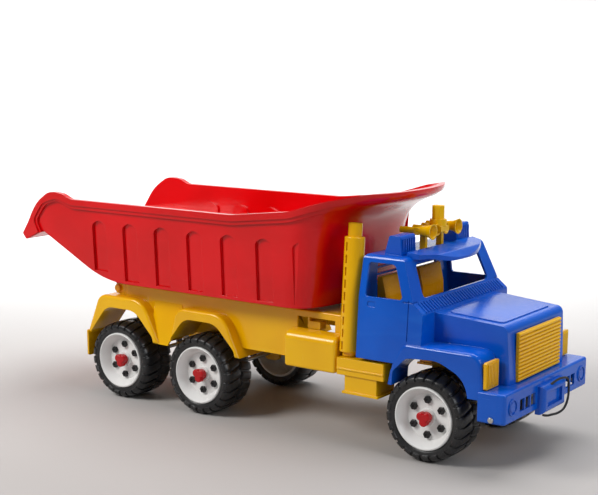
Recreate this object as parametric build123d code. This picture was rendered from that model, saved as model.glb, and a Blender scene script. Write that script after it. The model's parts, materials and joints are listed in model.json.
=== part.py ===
"""Ride-size toy tipper truck: moulded chassis, tipping bucket, cab and six free wheels.

Working frame: x forward from the front axle, y to the truck's left, z up from the floor, mm.
The finished pieces are shifted along x so that the origin is the centre of the footprint.
"""
import math
import os

from build123d import *

# ---- running gear
WHEEL_R = 56.0          # tyre radius
TYRE_W = 54.0           # tyre width
HALF_W = 118.0          # tyres' outer faces and cab sides, from the centre plane
WHEELBASE = 361.0       # front axle to middle axle
TYRE_GAP = 37.0         # free space between the two rear tyres
AXLE_R = 3.0            # steel rod
RUN_FIT = 0.08          # radial clearance of a rod in a running bore
CLEAR = 0.4             # gap between pieces that move past each other
RIM_R = 40.4            # seat of the tyre on the rim
TYRE_SKIN = 7.0         # tread's thickness over the hollow
DISC_IN = 13.0          # wheel disc behind the outer face
NUT_RING_R = 22.4       # six nuts on this radius
NUT_R = 5.0             # nut, centre to corner

# ---- moulded walls and levels
WALL = 3.0              # general moulded wall
ARCH_RISE = 20.0        # top of a wheel arch above the tyre
FENDER_BAND = 16.0      # height of the band round an arch
DECK_RISE = 34.0        # chassis top above the arches
SKIRT_IN = 21.0         # chassis side wall inside the tyre faces
WELL_GAP = 5.0          # tyre to inner wall of the wheel well

# ---- cab
CAB_BACK = 99.0         # front axle to cab's rear wall
CAB_FRONT = 6.0         # front axle back to the cab's front wall
NOSE_X = 95.0           # grille plane
SILL_RISE = 66.0        # window sill above the arches
ROOF_RISE = 119.0       # roof above the arches
ROOF_HALF_W = 101.0
HOOD_HALF_W = 83.0
LINER_IN = 4.0          # arch liner reaches this far inside the hood's side
BUMPER_X = 111.0        # bumper's front face
BUMPER_H = 38.0
BUMPER_DEEP = 36.0      # bumper, front to back

# ---- bucket
BUCKET_GAP = 6.0        # bucket floor above the chassis deck
BUCKET_WALL = 3.0
BUCKET_OVER = 6.0       # bucket wall outside the tyre faces, at its floor
BUCKET_DRAFT = 7.0 / 156.0
BUCKET_RAIL_Z = 116.0   # top rail above the bucket's floor
CANOPY_RISE = 36.0      # top of the front canopy above the rail
RAIL_OUT = 5.0          # rail stands out of the wall
RAIL_H = 13.0
PANEL_COUNT = 7         # arched recesses on each side
PANEL_PITCH = 59.3
PANEL_W = 27.0
PANEL_DEEP = 3.6
HINGE_R = 3.0           # tipping pins
STACK_R = 13.0          # exhaust stack's main pipe

# ---- derived places
AXLE_Z = WHEEL_R
MID_X = -WHEELBASE
REAR_X = MID_X - 2 * WHEEL_R - TYRE_GAP
AXLES = {"front": 0.0, "mid": MID_X, "rear": REAR_X}
TYRE_IN_Y = HALF_W - TYRE_W
WELL_Y = TYRE_IN_Y - WELL_GAP
SKIRT_Y = HALF_W - SKIRT_IN
ARCH_Z = 2 * WHEEL_R + ARCH_RISE
FENDER_Z = ARCH_Z + FENDER_BAND
DECK_Z = ARCH_Z + DECK_RISE
SKIRT_Z = ARCH_Z - 32.0
CAB_FLOOR_Z = ARCH_Z - 12.0
SILL_Z = ARCH_Z + SILL_RISE
ROOF_Z = ARCH_Z + ROOF_RISE
STACK_Z = CAB_FLOOR_Z + 2.0
BUMPER_TOP_Z = ARCH_Z - 28.0
CHASSIS_REAR = REAR_X - 6.0
CAB_REAR = -CAB_BACK
CHASSIS_FRONT = CAB_REAR - 4.0
BUCKET_Z = DECK_Z + BUCKET_GAP
RAIL_Z = BUCKET_Z + BUCKET_RAIL_Z
CANOPY_Z = RAIL_Z + CANOPY_RISE
BUCKET_FRONT = CAB_REAR - 59.0
TAIL_X = REAR_X - 158.0
HINGE_X = REAR_X - 20.0
HINGE_Z = DECK_Z - 8.0
LUG_R = min(HINGE_R + 4.6, HINGE_Z - FENDER_Z - 1 - CLEAR)
LIP_TIP_X = TAIL_X - 22.0
WINCH_X = BUMPER_X + 9.0


# ---- helpers
def block(x0, x1, y0, y1, z0, z1):
    """Box between two corners."""
    centre = ((x0 + x1) / 2, (y0 + y1) / 2, (z0 + z1) / 2)
    return Pos(*centre) * Box(abs(x1 - x0), abs(y1 - y0), abs(z1 - z0))


def corner_radius(before, corner, after):
    """Wanted fillet of a corner, cut down to what its two runs leave room for."""
    ax, ay = corner[0] - before[0], corner[1] - before[1]
    bx, by = after[0] - corner[0], after[1] - corner[1]
    turn = abs(math.atan2(ax * by - ay * bx, ax * bx + ay * by))
    room = 0.48 * min(math.hypot(ax, ay), math.hypot(bx, by))
    return min(corner[2], room / math.tan(turn / 2)) if turn > 0.01 else 0.0


def prism(axis, lo, hi, corners):
    """Outline of (a, b, fillet radius) corners, extruded along x, y or z from lo to hi."""
    spot = {"x": lambda a, b: (lo, a, b), "y": lambda a, b: (a, lo, b), "z": lambda a, b: (a, b, lo)}
    way = {"x": (1, 0, 0), "y": (0, 1, 0), "z": (0, 0, 1)}[axis]
    points = [spot[axis](a, b) for a, b, r in corners]
    ring = corners[-1:] + corners + corners[:1]
    radii = [corner_radius(*ring[i:i + 3]) for i in range(len(corners))]
    line = FilletPolyline(*points, radius=radii, close=True) if any(radii) else Polyline(*points, close=True)
    return extrude(make_face(line), hi - lo, dir=way)


def rod(axis, lo, hi, a, b, radius):
    """Cylinder along x, y or z; a and b are its place on the other two axes, in order."""
    if axis == "x":
        return Pos((lo + hi) / 2, a, b) * Rot(0, 90, 0) * Cylinder(radius, hi - lo)
    if axis == "y":
        return Pos(a, (lo + hi) / 2, b) * Rot(90, 0, 0) * Cylinder(radius, hi - lo)
    return Pos(a, b, (lo + hi) / 2) * Cylinder(radius, hi - lo)


def origin_x():
    """Middle of the truck from the tail lip's rounded tip to the winch housing's face."""
    tail = prism("y", 0, 1, bucket_side_view()).bounding_box().min.X
    return (tail + WINCH_X) / 2


def left(shape):
    """The same piece on the truck's other side."""
    return mirror(shape, about=Plane.XZ)


def both(shape):
    return shape + left(shape)


def soften(shape, edges, radius):
    """Fillet that falls back to smaller radii where a wall is too thin for the wanted one."""
    for share in (1.0, 0.6, 0.3):
        try:
            done = fillet(edges, radius * share)
        except Exception:
            continue
        if done.is_valid:
            return done
    return shape


# ---- chassis
def well_outline(axle_x, grow=0.0):
    """Inside of a wheel arch; grow moves it outwards."""
    back, front = WHEEL_R + 5 + grow, WHEEL_R + 6 + grow
    top, shoulder = ARCH_Z + grow, AXLE_Z + WHEEL_R * 0.62
    return [(axle_x - back, 0, 0), (axle_x - back, shoulder, 12), (axle_x - WHEEL_R / 2 - grow / 2, top, 26),
            (axle_x + WHEEL_R / 2 + grow / 2, top, 30), (axle_x + front, shoulder + 6, 14), (axle_x + front, 0, 0)]


def fender_outline(axle_x, back_foot, front_foot, rise, inset=0.0):
    """Outside of a wheel arch's band, down to its two feet."""
    foot_z = AXLE_Z + WHEEL_R * 0.58
    top = ARCH_Z + rise - inset
    return [(axle_x - back_foot + inset, foot_z, 0), (axle_x - WHEEL_R * 0.76 + inset, top, 18),
            (axle_x + WHEEL_R * 0.76 - inset, top, 34), (axle_x + front_foot - inset, foot_z, 0)]


def fender_pair():
    """Right-hand twin fenders over the two rear wheels, hollow inside."""
    band_y = -HALF_W + 4.0
    feet = {REAR_X: (WHEEL_R + 12, WHEEL_R + 17, FENDER_BAND + 1), MID_X: (WHEEL_R + 2, WHEEL_R + 13, FENDER_BAND - 2)}
    shell, hollow, wells = None, None, None
    for axle_x, (back, front, rise) in feet.items():
        arch = prism("y", band_y, -WELL_Y, fender_outline(axle_x, back, front, rise))
        arch = soften(arch, arch.faces().sort_by(Axis.Y)[0].edges(), 4.0)
        core = prism("y", band_y + WALL, -WELL_Y + 8, fender_outline(axle_x, back, front, rise, WALL))
        core -= prism("y", band_y, -WELL_Y + 9, well_outline(axle_x, WALL))
        core -= block(REAR_X - 200, MID_X + 200, band_y, -WELL_Y + 9, 0, AXLE_Z + WHEEL_R * 0.58 + WALL)
        well = prism("y", band_y - 10, -WELL_Y, well_outline(axle_x))
        shell = arch if shell is None else shell + arch
        hollow = core if hollow is None else hollow + core
        wells = well if wells is None else wells + well
    valley_mid = (REAR_X + MID_X) / 2 + 5
    valley = prism("x", valley_mid - 26, valley_mid + 26,
                   [(-SKIRT_Y, FENDER_Z, 0), (band_y + 2.5, AXLE_Z + WHEEL_R * 0.58, 0),
                    (band_y + 5.5, AXLE_Z + WHEEL_R * 0.58, 0), (-SKIRT_Y + WALL, FENDER_Z, 0)])
    return (shell + valley) - wells, hollow, wells


def axle_carrier(axle_x, top_z):
    """Two hanging plates that hold an axle, one each side."""
    plate = prism("y", -WELL_Y, -WELL_Y + 6, [(axle_x - 24, top_z, 0), (axle_x - 13, AXLE_Z - 12, 8),
                                              (axle_x + 13, AXLE_Z - 12, 8), (axle_x + 24, top_z, 0)])
    return both(plate)


def hinge_ears():
    """Two chassis ears for each tipping pin, outside the bucket's lugs."""
    ear = prism("y", -SKIRT_Y + 3, -SKIRT_Y + 8, [(CHASSIS_REAR + 2, DECK_Z - 2, 0), (CHASSIS_REAR + 2, FENDER_Z - 2, 0),
                                                  (HINGE_X - 7, HINGE_Z - 7, 5), (HINGE_X - 7, HINGE_Z + 7, 6)])
    inner = Pos(0, 20, 0) * ear
    return both(ear + inner)


def chassis():
    """Main moulding: deck, side skirts, twin rear fenders, axle carriers and hinge ears."""
    tub = block(CHASSIS_REAR, CHASSIS_FRONT, -SKIRT_Y, SKIRT_Y, SKIRT_Z, DECK_Z)
    tub = soften(tub, tub.edges().filter_by(Axis.Z), 5.0)
    tub = soften(tub, tub.faces().sort_by(Axis.Z)[-1].edges(), 2.0)
    tandem_front = MID_X + WHEEL_R + 16
    tub -= block(tandem_front, CHASSIS_FRONT - WALL, -SKIRT_Y + WALL, SKIRT_Y - WALL, 0, DECK_Z - WALL)
    tub -= block(CHASSIS_REAR + WALL, tandem_front + 1, -WELL_Y + WALL, WELL_Y - WALL, 0, DECK_Z - WALL)
    side_bay = block(CHASSIS_REAR + WALL, tandem_front - WALL, -SKIRT_Y + WALL, -WELL_Y, 0, DECK_Z - WALL)
    tub -= both(side_bay)
    fenders, hollow, wells = fender_pair()
    frame = tub - both(wells) + both(fenders) - both(hollow)
    frame += deck_front()
    for axle_x, top_z in ((0.0, CAB_FLOOR_Z), (MID_X, DECK_Z - WALL), (REAR_X, DECK_Z - WALL)):
        frame += axle_carrier(axle_x, top_z)
        frame -= rod("y", -HALF_W, HALF_W, axle_x, AXLE_Z, AXLE_R)
    frame += hinge_ears()
    frame -= rod("y", -HALF_W, HALF_W, HINGE_X, HINGE_Z, HINGE_R)
    frame = frame - side_pockets() + pocket_tabs() + mud_flaps()
    socket = stack_axis() * Cylinder(STACK_R + CLEAR + WALL, DECK_Z - STACK_Z, align=(Align.CENTER, Align.CENTER, Align.MIN))
    inside = block(CHASSIS_FRONT - 60, CHASSIS_FRONT, -SKIRT_Y + 1, 0, STACK_Z, DECK_Z)
    return frame + (socket & inside) - stack_axis() * Pos(0, 0, 60) * Cylinder(STACK_R + CLEAR, 120)


def stack_axis():
    """Foot of the exhaust stack, which leans in with the cab's side."""
    return Pos(CAB_REAR - 19, -SKIRT_Y - 7, STACK_Z) * Rot(-4.3, 0, 0)


def deck_front():
    """Plate under the cab, with a centre rib and a post for the bumper."""
    plate = block(CHASSIS_FRONT - 1, NOSE_X - 22, -WELL_Y, WELL_Y, CAB_FLOOR_Z - 4, CAB_FLOOR_Z)
    rib = block(CHASSIS_FRONT - 1, NOSE_X - 22, -12, 12, CAB_FLOOR_Z - 12, CAB_FLOOR_Z - 4)
    post = block(NOSE_X - 30, BUMPER_X - BUMPER_DEEP, -48, 48, BUMPER_TOP_Z - BUMPER_H + 8, BUMPER_TOP_Z - 3)
    post += block(NOSE_X - 30, NOSE_X - 22, -48, 48, BUMPER_TOP_Z - 4, CAB_FLOOR_Z - 4)
    riser = block(CHASSIS_FRONT - WALL, CHASSIS_FRONT, -SKIRT_Y + 1, SKIRT_Y - 1, CAB_FLOOR_Z - 4, DECK_Z - 1)
    return plate + rib + post + riser


def side_pockets():
    """Open pocket in each side wall, where the moulding tool frees the locating tab."""
    pocket = block(CHASSIS_FRONT - 102, CHASSIS_FRONT - 42, -SKIRT_Y - 1, -SKIRT_Y + WALL + 1, DECK_Z - 29, DECK_Z - 9)
    return both(pocket)


def pocket_tabs():
    tab = block(CHASSIS_FRONT - 86, CHASSIS_FRONT - 66, -SKIRT_Y + 1, -SKIRT_Y + 14, DECK_Z - 24, DECK_Z - 14)
    web = block(CHASSIS_FRONT - 86, CHASSIS_FRONT - 83, -SKIRT_Y + 1, -SKIRT_Y + 14, DECK_Z - 24, DECK_Z - 2)
    return both(tab + web)


def mud_flaps():
    """Hanging flap behind each rear wheel."""
    x_flap = REAR_X - WHEEL_R - 12
    flap = block(x_flap, x_flap + WALL, -HALF_W + 3, -WELL_Y, AXLE_Z - 2, AXLE_Z + WHEEL_R * 0.58 + 4)
    return both(soften(flap, flap.edges().filter_by(Axis.X), 2.5))


# ---- side boxes
def fuel_tank():
    """Right-hand tank box that snaps on the chassis side."""
    x0, x1 = CHASSIS_FRONT - 109, CHASSIS_FRONT - 28
    top, low = ARCH_Z + 7, ARCH_Z - 39
    tank = prism("x", x0, x1, [(-SKIRT_Y, low, 0), (-HALF_W, low, 3), (-HALF_W, top, 11), (-SKIRT_Y, top + 3, 0)])
    tank = soften(tank, tank.edges().filter_by(Axis.Z), 4.0)
    return tank - block(x0 + WALL, x1 - WALL, -HALF_W + WALL, -SKIRT_Y - WALL, low - 1, top - 12)


def cab_step():
    """Right-hand two-tread step under the door."""
    x0, x1 = CAB_REAR - 29, CAB_REAR + 41
    top, mid, low = CAB_FLOOR_Z - 4, CAB_FLOOR_Z - 26, CAB_FLOOR_Z - 50
    upper = block(x0, x1, -HALF_W, -WELL_Y - 8, mid, top)
    lower = block(x0 + 11, x1 - 11, -HALF_W + 2, -WELL_Y - 14, low, mid)
    foot = block(x0 + 8, x1 - 8, -HALF_W, -WELL_Y - 12, low, low + 3)
    tread = block(x0, x1, -HALF_W - 1, -HALF_W, mid + 7, mid + 9)
    step = upper + lower + foot + tread
    step -= block(x0 + WALL, x1 - WALL, -HALF_W + WALL, -WELL_Y - 11, mid - 0.01, top - WALL)
    step -= block(x0 + 14, x1 - 14, -HALF_W + WALL + 2, -WELL_Y - 17, low - 1, mid + 1)
    step -= block(x0 - 1, CHASSIS_FRONT + CLEAR, -SKIRT_Y, 0, SKIRT_Z - CLEAR, top + 1)
    for x in (x1 - 12, x0 + 32):
        step += block(x, x + 8, -WELL_Y - 16, -WELL_Y, top, CAB_FLOOR_Z)
    return step


# ---- bucket
def wall_half(z):
    """Half width of the bucket's outer wall at height z."""
    return HALF_W + BUCKET_OVER + (z - BUCKET_Z) * BUCKET_DRAFT


def bucket_section(z, front_x, curve_start, power, grow):
    """Level section of the bucket: straight sides and a rounded front."""
    half = wall_half(z) + grow
    reach = front_x + grow - curve_start
    steps = 8
    front = []
    for i in range(1, 2 * steps):
        share = i / steps - 1
        y = half * math.sin(share * math.pi / 2)
        front.append((curve_start + reach * (1 - abs(y / half) ** power) ** (1 / power), y, z))
    rear_x = TAIL_X - 60
    nose = Spline((curve_start, -half, z), *front, (curve_start, half, z), tangents=[(1, 0, 0), (-1, 0, 0)])
    sides = Line((rear_x, -half, z), (curve_start, -half, z)) + Line((curve_start, half, z), (rear_x, half, z))
    return make_face(nose + sides + Line((rear_x, half, z), (rear_x, -half, z)))


def bucket_body(grow):
    """Loft of the bucket's level sections, flaring forward into the canopy."""
    levels = [(0.0, -4.0, -57.0, 3.2), (46.0, 2.0, -55.0, 3.2), (84.0, 7.0, -50.0, 3.0), (108.0, 20.0, -44.0, 2.7),
              (126.0, 46.0, -34.0, 2.4), (138.0, 72.0, -26.0, 2.3), (158.0, 80.0, -22.0, 2.3)]
    faces = [bucket_section(BUCKET_Z + z, BUCKET_FRONT + out, BUCKET_FRONT + start, power, grow)
             for z, out, start, power in levels]
    return loft(faces)


def rail_top():
    """Side view of the rail's upper edge: level, rising to the canopy, with an ear at the tail."""
    ear = REAR_X - 109
    return [(BUCKET_FRONT + 160, CANOPY_Z, 0), (BUCKET_FRONT + 60, CANOPY_Z, 60),
            (BUCKET_FRONT + 18, CANOPY_Z - 9, 80), (BUCKET_FRONT - 36, RAIL_Z + 11, 90),
            (BUCKET_FRONT - 130, RAIL_Z, 120), (ear + 34, RAIL_Z, 18), (ear + 18, RAIL_Z + 7, 30)]


def tail_edge():
    """Side view of the tail's end, from the ear down to the lip's tip."""
    ear = REAR_X - 109
    return [(ear - 8, RAIL_Z + 9.5, 34), (ear - 38, RAIL_Z - 10, 75), (TAIL_X - 10, BUCKET_Z + 74, 30),
            (LIP_TIP_X, BUCKET_Z + 58, 3)]


def floor_line(lift):
    """Side view of the floor from the front to the tail, raised by lift."""
    return [(BUCKET_FRONT + 160, BUCKET_Z + lift, 0), (REAR_X - 18, BUCKET_Z + lift, 170),
            (TAIL_X, BUCKET_Z + 74 + lift * 1.13, 0)]


def bucket_side_view():
    """Whole outline of the bucket from the side."""
    floor = floor_line(0.0)
    lip = [(LIP_TIP_X + 7, BUCKET_Z + 49, 3), (TAIL_X + 3, BUCKET_Z + 62, 4)]
    return [floor[0]] + rail_top() + tail_edge() + lip + [(TAIL_X + 18, BUCKET_Z + 64, 0), floor[1]]


def hollow_side_view():
    """Inside of the bucket from the side, open above and at the tail."""
    floor = floor_line(BUCKET_WALL)
    return [floor[0], (BUCKET_FRONT + 160, CANOPY_Z + 40, 0), (TAIL_X - 80, CANOPY_Z + 40, 0),
            (TAIL_X - 80, BUCKET_Z + 40, 0), (LIP_TIP_X + 4, BUCKET_Z + 55, 0), (TAIL_X - 9, BUCKET_Z + 74, 9),
            (TAIL_X + 2, floor[2][1] - 1, 6), floor[1]]


def arch_recess(x_rear, depth, grow, bottom_z):
    """Round-topped tool that sinks one panel into the right-hand wall."""
    x0, x1 = x_rear - grow, x_rear + PANEL_W + grow
    top = BUCKET_Z + 86 + grow
    outline = [(x0, bottom_z, 0), (x0, top - 4, 7), ((x0 + x1) / 2, top + 4, 22), (x1, top - 4, 7), (x1, bottom_z, 0)]
    tool = prism("y", -wall_half(BUCKET_Z) - 12, -wall_half(BUCKET_Z) + depth, outline)
    tilt = math.degrees(math.atan(BUCKET_DRAFT))
    return Pos(0, -wall_half(BUCKET_Z), BUCKET_Z) * Rot(tilt, 0, 0) * Pos(0, wall_half(BUCKET_Z), -BUCKET_Z) * tool


def floor_height(x):
    """Underside of the bucket's floor at x, where the tail slopes up."""
    slope = 74.0 / (REAR_X - 18 - TAIL_X)
    return BUCKET_Z + max(0.0, (REAR_X - 18 - x) * slope)


def bucket():
    """Tipping bucket: one moulding with recessed side panels, rail, canopy, tail lip and lugs."""
    body = bucket_body(0.0) & prism("y", -300, 300, bucket_side_view())
    body = body + (bucket_body(RAIL_OUT) & rail_zone(RAIL_H * 0.68, 4.5))
    body = body + (bucket_body(RAIL_OUT * 0.6) & rail_zone(RAIL_H + 1, 0.0))
    cavity = bucket_body(-BUCKET_WALL) & prism("y", -300, 300, hollow_side_view())
    first = REAR_X - 38
    for i in range(PANEL_COUNT):
        x = first + i * PANEL_PITCH
        low = floor_height(x) + 4.5
        cavity -= both(arch_recess(x, PANEL_DEEP + BUCKET_WALL, BUCKET_WALL * 0.8, low - 3))
        body -= both(arch_recess(x, PANEL_DEEP, 0.0, low))
    tub = body - cavity + hinge_lugs()
    return tub - rod("y", -HALF_W, HALF_W, HINGE_X, HINGE_Z, HINGE_R + RUN_FIT)


def rail_zone(height, narrow):
    """Side-view band that keeps one step of the rail: below the top edge all the way round to the tail."""
    upper = rail_top()
    lower = [(x, z - height, r) for x, z, r in upper]
    foot = [(LIP_TIP_X + 7, BUCKET_Z + 49, 3), (TAIL_X + 16 - narrow, BUCKET_Z + 62, 0)]
    inner_tail = [(TAIL_X + 7 - narrow, BUCKET_Z + 80, 10), (TAIL_X + 28 - narrow, BUCKET_Z + 104 + narrow / 2, 26),
                  (REAR_X - 105, RAIL_Z - 4 + narrow * 0.7, 20)]
    return prism("y", -300, 300, upper + tail_edge() + foot + inner_tail + lower[5::-1])


def hinge_lugs():
    """Two lugs under the floor that turn on the tipping pins."""
    y0, y1 = -SKIRT_Y + 8 + CLEAR, -SKIRT_Y + 23 - CLEAR
    top = BUCKET_Z + 14
    lug = prism("y", y0, y1, [(HINGE_X - 26, top + 6, 0), (HINGE_X - LUG_R, HINGE_Z, 0), (HINGE_X + LUG_R, HINGE_Z, 0),
                              (HINGE_X + LUG_R, BUCKET_Z + 2, 0)])
    lug += rod("y", y0, y1, HINGE_X, HINGE_Z, LUG_R)
    lug -= block(HINGE_X - 60, HINGE_X + 60, y0 + WALL, y1 - WALL, HINGE_Z + LUG_R + 0.4, BUCKET_Z - 1)
    return both(lug & bucket_lug_limit())


def bucket_lug_limit():
    """Everything below the middle of the floor, so a lug stops inside the floor's thickness."""
    floor = floor_line(BUCKET_WALL / 2)
    return prism("y", -200, 200, [floor[0], floor[1], floor[2], (TAIL_X, 0, 0), (BUCKET_FRONT + 160, 0, 0)])


def tipping_pin():
    """Right-hand pin through a pair of chassis ears and the lug between them."""
    pin = rod("y", -SKIRT_Y + 1, -SKIRT_Y + 30, HINGE_X, HINGE_Z, HINGE_R)
    return pin + rod("y", -SKIRT_Y - 1, -SKIRT_Y + 3, HINGE_X, HINGE_Z, HINGE_R + 2)


# ---- wheels
def tyre(axle_x):
    """Right-hand tyre: blown hollow, with rounded shoulders, a sidewall step and tread blocks."""
    y_mid = -HALF_W + TYRE_W / 2
    half = TYRE_W / 2
    outline = [(RIM_R, -half + 2, 0), (RIM_R + 3, -half, 1.5), (WHEEL_R - 6, -half, 3), (WHEEL_R - 1.5, -half + 7, 3),
               (WHEEL_R, -half + 16, 0), (WHEEL_R, half - 16, 0), (WHEEL_R - 1.5, half - 7, 3),
               (WHEEL_R - 6, half, 3), (RIM_R + 3, half, 1.5), (RIM_R, half - 2, 0)]
    points = [(r, y, 0) for r, y, f in outline]
    ring = revolve(make_face(FilletPolyline(*points, radius=[f for r, y, f in outline], close=True)), Axis.Y)
    ring -= Rot(90, 0, 0) * (Cylinder(WHEEL_R - TYRE_SKIN, TYRE_W - 12) - Cylinder(RIM_R - 1, TYRE_W))
    cuts = 18
    for side in (-1, 1):
        notch = Pos(WHEEL_R + 1, side * (half - 5), 0) * Rot(0, 0, side * 24) * Box(7, 16, 4.2)
        ring -= [Rot(0, (i + (side > 0) / 2) * 360 / cuts, 0) * notch for i in range(cuts)]
    return Pos(axle_x, y_mid, AXLE_Z) * ring


def rim(axle_x):
    """Right-hand wheel disc: outer lip, dished wall, flat disc, hub tube and a rear flange."""
    out, back = -HALF_W, -HALF_W + TYRE_W
    disc = out + DISC_IN
    hub = 10.0
    bore = AXLE_R + RUN_FIT
    points = [(bore, disc - 3), (hub, disc - 3), (hub + 1, disc), (RIM_R - 11, disc), (RIM_R - 4, out + 2),
              (RIM_R - 2, out - 0.6), (RIM_R - 0.4, out), (RIM_R, out + 2), (RIM_R, back - 2), (RIM_R - 3, back - 2),
              (RIM_R - 3, disc + 9), (RIM_R - 9, disc + WALL), (hub, disc + WALL), (hub, back - 6), (bore, back - 6)]
    ring = revolve(make_face(Polyline(*[(r, y, 0) for r, y in points], close=True)), Axis.Y)
    holes = [Pos(NUT_RING_R * math.cos(a), disc + 1, NUT_RING_R * math.sin(a)) * Rot(90, 0, 0) * Cylinder(3.0, 8)
             for a in (math.radians(30 + 60 * i) for i in range(6))]
    return Pos(axle_x, 0, AXLE_Z) * (ring - holes)


def wheel_nuts(axle_x):
    """Six hexagonal plugs pushed into the disc of a right-hand wheel."""
    disc = -HALF_W + DISC_IN
    nut = Rot(90, 0, 0) * extrude(RegularPolygon(NUT_R, 6), 3.4, dir=(0, 0, 1))
    nut = Pos(0, disc, 0) * nut
    nut += rod("y", disc, disc + 4, 0, 0, 3.0)
    nut -= rod("y", disc - 4, disc - 2.2, 0, 0, 1.8)
    spots = [Pos(NUT_RING_R * math.cos(a), 0, NUT_RING_R * math.sin(a)) for a in
             (math.radians(30 + 60 * i) for i in range(6))]
    return [Pos(axle_x, 0, AXLE_Z) * spot * nut for spot in spots]


def hub_knob(axle_x):
    """Right-hand three-lobed cap pressed on the axle's end."""
    inner = -HALF_W + DISC_IN - 3 - CLEAR
    outer = -HALF_W - 1
    lobe = rod("y", outer, inner - 3, 4.6, 0, 5.6)
    lobe = soften(lobe, lobe.faces().sort_by(Axis.Y)[0].edges(), 2.0)
    knob = rod("y", inner - 3, inner, 0, 0, 7.5) + rod("y", outer, inner - 3, 0, 0, 5.0)
    for turn in (90, 210, 330):
        knob += Rot(0, turn, 0) * lobe
    knob -= rod("y", inner - 9, inner + 1, 0, 0, AXLE_R)
    return Pos(axle_x, 0, AXLE_Z) * knob


def axle(axle_x):
    reach = HALF_W - DISC_IN + 3 + CLEAR + 9
    return rod("y", -reach, reach, axle_x, AXLE_Z, AXLE_R)


# ---- cab
def cab_side_view(grow=0.0):
    """Cab outline from the side: rear wall, roof, raked windscreen, cowl slope, front wall."""
    screen_top, screen_low = -40.0, CAB_REAR + 79.0
    return [(CAB_REAR - grow, CAB_FLOOR_Z, 0), (-CAB_FRONT + grow, CAB_FLOOR_Z, 0), (-CAB_FRONT + grow, SILL_Z - 13, 4),
            (screen_low + grow, SILL_Z - 1, 4), (screen_top + grow, ROOF_Z - 2 + grow, 7), (CAB_REAR - grow, ROOF_Z + grow, 7)]


def cab_front_view(grow=0.0):
    """Cab outline from the front: sides lean in above and below the sill."""
    sill_half = HALF_W - 6.0
    right = [(-HALF_W - grow, CAB_FLOOR_Z - 1, 0), (-sill_half - grow, SILL_Z, 10), (-ROOF_HALF_W - grow, ROOF_Z + grow, 8)]
    return right + [(-y, z, r) for y, z, r in reversed(right)]


def hood_block(grow=0.0, lift=0.0):
    """Hood body between the cab and the grille, narrowing a little to the front."""
    low, rear_top, front_top = BUMPER_TOP_Z, SILL_Z - 14 + lift + grow, SILL_Z - 22 + lift + grow
    side = prism("y", -130, 130, [(-CAB_FRONT - 8, low, 0), (NOSE_X + grow, low, 0), (NOSE_X - 4 + grow, front_top, 9),
                                  (-CAB_FRONT - 8, rear_top, 0)])
    plan = prism("z", 0, 400, [(-CAB_FRONT - 8, -HOOD_HALF_W - 1 - grow, 0), (NOSE_X + grow, -HOOD_HALF_W + 4 - grow, 6),
                               (NOSE_X + grow, HOOD_HALF_W - 4 + grow, 6), (-CAB_FRONT - 8, HOOD_HALF_W + 1 + grow, 0)])
    return side & plan


def front_fender(grow=0.0):
    """Right-hand front fender: flat-topped flare from behind the wheel to the bumper."""
    top = FENDER_Z - 1 + grow
    back, front = WHEEL_R - 4 + grow, WHEEL_R + 24 + grow
    outline = [(-back, ARCH_Z - 40, 0), (-back + 5, AXLE_Z + WHEEL_R + 8, 12), (-WHEEL_R * 0.56 - grow, top, 12),
               (front - 4, top, 14), (front, ARCH_Z - 28, 0), (front, ARCH_Z - 40, 0)]
    flare = prism("y", -HALF_W - grow, -HOOD_HALF_W + 6, outline)
    rim_edges = [e for e in flare.faces().sort_by(Axis.Y)[0].edges() if e.center().Z > ARCH_Z - 39]
    return soften(flare, rim_edges, 5.0) if grow == 0.0 else flare


def front_well():
    """Space cut for a front wheel, open downwards and outwards."""
    return [(-WHEEL_R + 6, 0, 0), (-WHEEL_R + 11, ARCH_Z - 22, 10), (-WHEEL_R * 0.46, ARCH_Z - 3, 14), (18, ARCH_Z, 40),
            (WHEEL_R + 1, ARCH_Z - 18, 34), (WHEEL_R + 18, 0, 0)]


def roof_fairing():
    """Right-hand deflector box on the roof, ribbed in front."""
    y_out, y_in, x_rear, x_front = -88.0, -53.0, CAB_REAR + 21, CAB_REAR + 47
    top = ROOF_Z + 23
    box = prism("y", y_out, y_in, [(x_rear, ROOF_Z - 4, 0), (x_front, ROOF_Z - 4, 0), (x_front - 2, top, 3), (x_rear + 8, top, 3)])
    box -= block(x_rear + 4, x_front - 5, y_out + WALL, y_in - WALL, ROOF_Z - 10, top - 5)
    for i in range(6):
        y = y_out + 4 + i * (y_in - y_out - 8) / 5
        box += block(x_front - 3, x_front + 0.6, y - 1, y + 1, ROOF_Z + 3, top - 4)
    return box


def cab_openings():
    """Side windows, windscreen and rear window."""
    sill, head = SILL_Z + 1, ROOF_Z - 10
    side = prism("y", -150, 150, [(CAB_REAR + 9, sill, 3), (CAB_REAR + 64, sill, 4), (CAB_REAR + 48, head, 9), (CAB_REAR + 9, head, 4)])
    screen = prism("x", CAB_REAR + 30, 20, [(-86, sill, 6), (86, sill, 6), (80, head - 1, 6), (-80, head - 1, 6)])
    rear = prism("x", CAB_REAR - 10, CAB_REAR + 20, [(-76, sill + 8, 5), (76, sill + 8, 5), (72, head - 4, 5), (-72, head - 4, 5)])
    return side + screen + rear


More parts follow.
